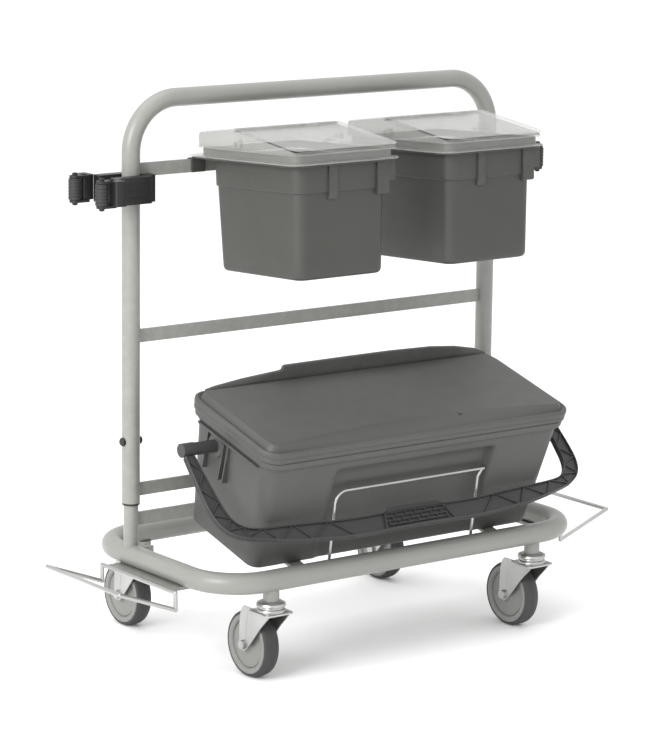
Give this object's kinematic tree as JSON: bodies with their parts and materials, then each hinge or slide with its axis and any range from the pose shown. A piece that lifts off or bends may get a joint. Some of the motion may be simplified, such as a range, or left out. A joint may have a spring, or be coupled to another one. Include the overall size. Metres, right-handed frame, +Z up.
{
  "type": "housekeeping cart",
  "caption": "Housekeeping cart with a ring base on swivel casters, an inverted-U push handle, small lidded buckets, a tilted lidded box with a bail, wire bag loops and roller tool clips.",
  "frame": {"origin": "on the floor, under the centre of the base ring", "axes": "+X along the length to the right, +Y from the box side towards the push handle side, +Z up"},
  "size_m": [1.1684, 0.5961, 1.0607],
  "materials": {
    "frame_paint": "satin light grey powder coat",
    "zinc": "bright zinc plate",
    "hub_plastic": "matte",
    "tyre_rubber": "matte",
    "box_plastic": "fine matte grain",
    "bucket_plastic": "fine matte grain",
    "bail_plastic": "matte",
    "clip_plastic": "matte",
    "roller_rubber": "matte",
    "clear_lid": "clear, glossy"
  },
  "bodies": {
    "frame": {"base_loop": "frame_paint", "left_stub": "frame_paint", "right_stub": "frame_paint", "caster_bosses": "frame_paint", "post_gussets": "frame_paint", "push_handle": "frame_paint", "post_rings": "clip_plastic", "post_screws": "clip_plastic", "top_rail": "frame_paint", "middle_rail": "frame_paint", "upper_low_rail": "frame_paint", "lower_low_rail": "frame_paint", "left_strap": "frame_paint", "right_strap": "frame_paint", "wire_retainer": "zinc", "left_bag_loop": "zinc", "right_bag_loop": "zinc", "bag_loop_brackets": "frame_paint", "left_clip": "clip_plastic", "right_clip": "clip_plastic", "clip_pins": "clip_plastic", "fl_cap": "zinc", "fr_cap": "zinc", "rl_cap": "zinc", "rr_cap": "zinc"},
    "fl_swivel": {"fl_fork": "zinc", "fl_axle": "zinc"},
    "fl_wheel": {"fl_hub": "hub_plastic", "fl_tyre": "tyre_rubber"},
    "fr_swivel": {"fr_fork": "zinc", "fr_axle": "zinc"},
    "fr_wheel": {"fr_hub": "hub_plastic", "fr_tyre": "tyre_rubber"},
    "rl_swivel": {"rl_fork": "zinc", "rl_axle": "zinc"},
    "rl_wheel": {"rl_hub": "hub_plastic", "rl_tyre": "tyre_rubber"},
    "rr_swivel": {"rr_fork": "zinc", "rr_axle": "zinc"},
    "rr_wheel": {"rr_hub": "hub_plastic", "rr_tyre": "tyre_rubber"},
    "left_front_roller": {"left_front_roller": "roller_rubber"},
    "left_rear_roller": {"left_rear_roller": "roller_rubber"},
    "left_knob": {"left_knob": "clip_plastic"},
    "left_bucket": {"left_tub": "bucket_plastic"},
    "left_bucket_lid": {"left_lid": "clear_lid", "left_flap_pin": "zinc"},
    "left_bucket_flap": {"left_flap": "clear_lid"},
    "right_front_roller": {"right_front_roller": "roller_rubber"},
    "right_rear_roller": {"right_rear_roller": "roller_rubber"},
    "right_knob": {"right_knob": "clip_plastic"},
    "right_bucket": {"right_tub": "bucket_plastic"},
    "right_bucket_lid": {"right_lid": "clear_lid", "right_flap_pin": "zinc"},
    "right_bucket_flap": {"right_flap": "clear_lid"},
    "box": {"box_tub": "box_plastic", "bail_pins": "bail_plastic"},
    "box_lid": {"box_lid": "box_plastic"},
    "bail": {"box_bail": "bail_plastic"}
  },
  "joints": [
    {"name": "fl_swivel", "type": "hinge", "parent": "frame", "child": "fl_swivel", "pos_m": [-0.31, -0.21, 0.147], "axis": [0, 0, 1], "continuous": true},
    {"name": "fl_roll", "type": "hinge", "parent": "fl_swivel", "child": "fl_wheel", "pos_m": [-0.31, -0.155, 0.0625], "axis": [1, 0, 0], "continuous": true},
    {"name": "fr_swivel", "type": "hinge", "parent": "frame", "child": "fr_swivel", "pos_m": [0.31, -0.21, 0.147], "axis": [0, 0, 1], "continuous": true},
    {"name": "fr_roll", "type": "hinge", "parent": "fr_swivel", "child": "fr_wheel", "pos_m": [0.31, -0.155, 0.0625], "axis": [1, 0, 0], "continuous": true},
    {"name": "rl_swivel", "type": "hinge", "parent": "frame", "child": "rl_swivel", "pos_m": [-0.31, 0.21, 0.147], "axis": [0, 0, 1], "continuous": true},
    {"name": "rl_roll", "type": "hinge", "parent": "rl_swivel", "child": "rl_wheel", "pos_m": [-0.31, 0.265, 0.0625], "axis": [1, 0, 0], "continuous": true},
    {"name": "rr_swivel", "type": "hinge", "parent": "frame", "child": "rr_swivel", "pos_m": [0.31, 0.21, 0.147], "axis": [0, 0, 1], "continuous": true},
    {"name": "rr_roll", "type": "hinge", "parent": "rr_swivel", "child": "rr_wheel", "pos_m": [0.31, 0.265, 0.0625], "axis": [1, 0, 0], "continuous": true},
    {"name": "left_front_roller_spin", "type": "hinge", "parent": "frame", "child": "left_front_roller", "pos_m": [-0.513, 0.039, 0.883], "axis": [0, 0, 1], "continuous": true},
    {"name": "left_rear_roller_spin", "type": "hinge", "parent": "frame", "child": "left_rear_roller", "pos_m": [-0.513, 0.129, 0.883], "axis": [0, 0, 1], "continuous": true},
    {"name": "left_knob_turn", "type": "hinge", "parent": "frame", "child": "left_knob", "pos_m": [-0.3976, 0.084, 0.885], "axis": [1, 0, 0], "continuous": true},
    {"name": "left_bucket_lift", "type": "slide", "parent": "frame", "child": "left_bucket", "axis": [0, 0, 1], "range_m": [0, 0.045]},
    {"name": "left_lid_lift", "type": "slide", "parent": "left_bucket", "child": "left_bucket_lid", "axis": [0, 0.0532, 0.9986], "range_m": [0, 0.03]},
    {"name": "left_flap_hinge", "type": "hinge", "parent": "left_bucket_lid", "child": "left_bucket_flap", "pos_m": [-0.1715, -0.05224, 0.9939], "axis": [-1, 0, 0], "range_deg": [0, 100]},
    {"name": "right_front_roller_spin", "type": "hinge", "parent": "frame", "child": "right_front_roller", "pos_m": [0.513, 0.039, 0.883], "axis": [0, 0, 1], "continuous": true},
    {"name": "right_rear_roller_spin", "type": "hinge", "parent": "frame", "child": "right_rear_roller", "pos_m": [0.513, 0.129, 0.883], "axis": [0, 0, 1], "continuous": true},
    {"name": "right_knob_turn", "type": "hinge", "parent": "frame", "child": "right_knob", "pos_m": [0.3976, 0.084, 0.885], "axis": [1, 0, 0], "continuous": true},
    {"name": "right_bucket_lift", "type": "slide", "parent": "frame", "child": "right_bucket", "axis": [0, 0, 1], "range_m": [0, 0.045]},
    {"name": "right_lid_lift", "type": "slide", "parent": "right_bucket", "child": "right_bucket_lid", "axis": [0, 0.0532, 0.9986], "range_m": [0, 0.03]},
    {"name": "right_flap_hinge", "type": "hinge", "parent": "right_bucket_lid", "child": "right_bucket_flap", "pos_m": [0.1715, -0.05224, 0.9939], "axis": [-1, 0, 0], "range_deg": [0, 100]},
    {"name": "box_lift", "type": "slide", "parent": "frame", "child": "box", "axis": [0, -0.2664, 0.9639], "range_m": [0, 0.06]},
    {"name": "box_lid_lift", "type": "slide", "parent": "box", "child": "box_lid", "axis": [0, -0.2664, 0.9639], "range_m": [0, 0.06]},
    {"name": "bail_swing", "type": "hinge", "parent": "box", "child": "bail", "pos_m": [0, -0.08502, 0.4242], "axis": [-1, 0, 0], "range_deg": [0, 140]}
  ]
}
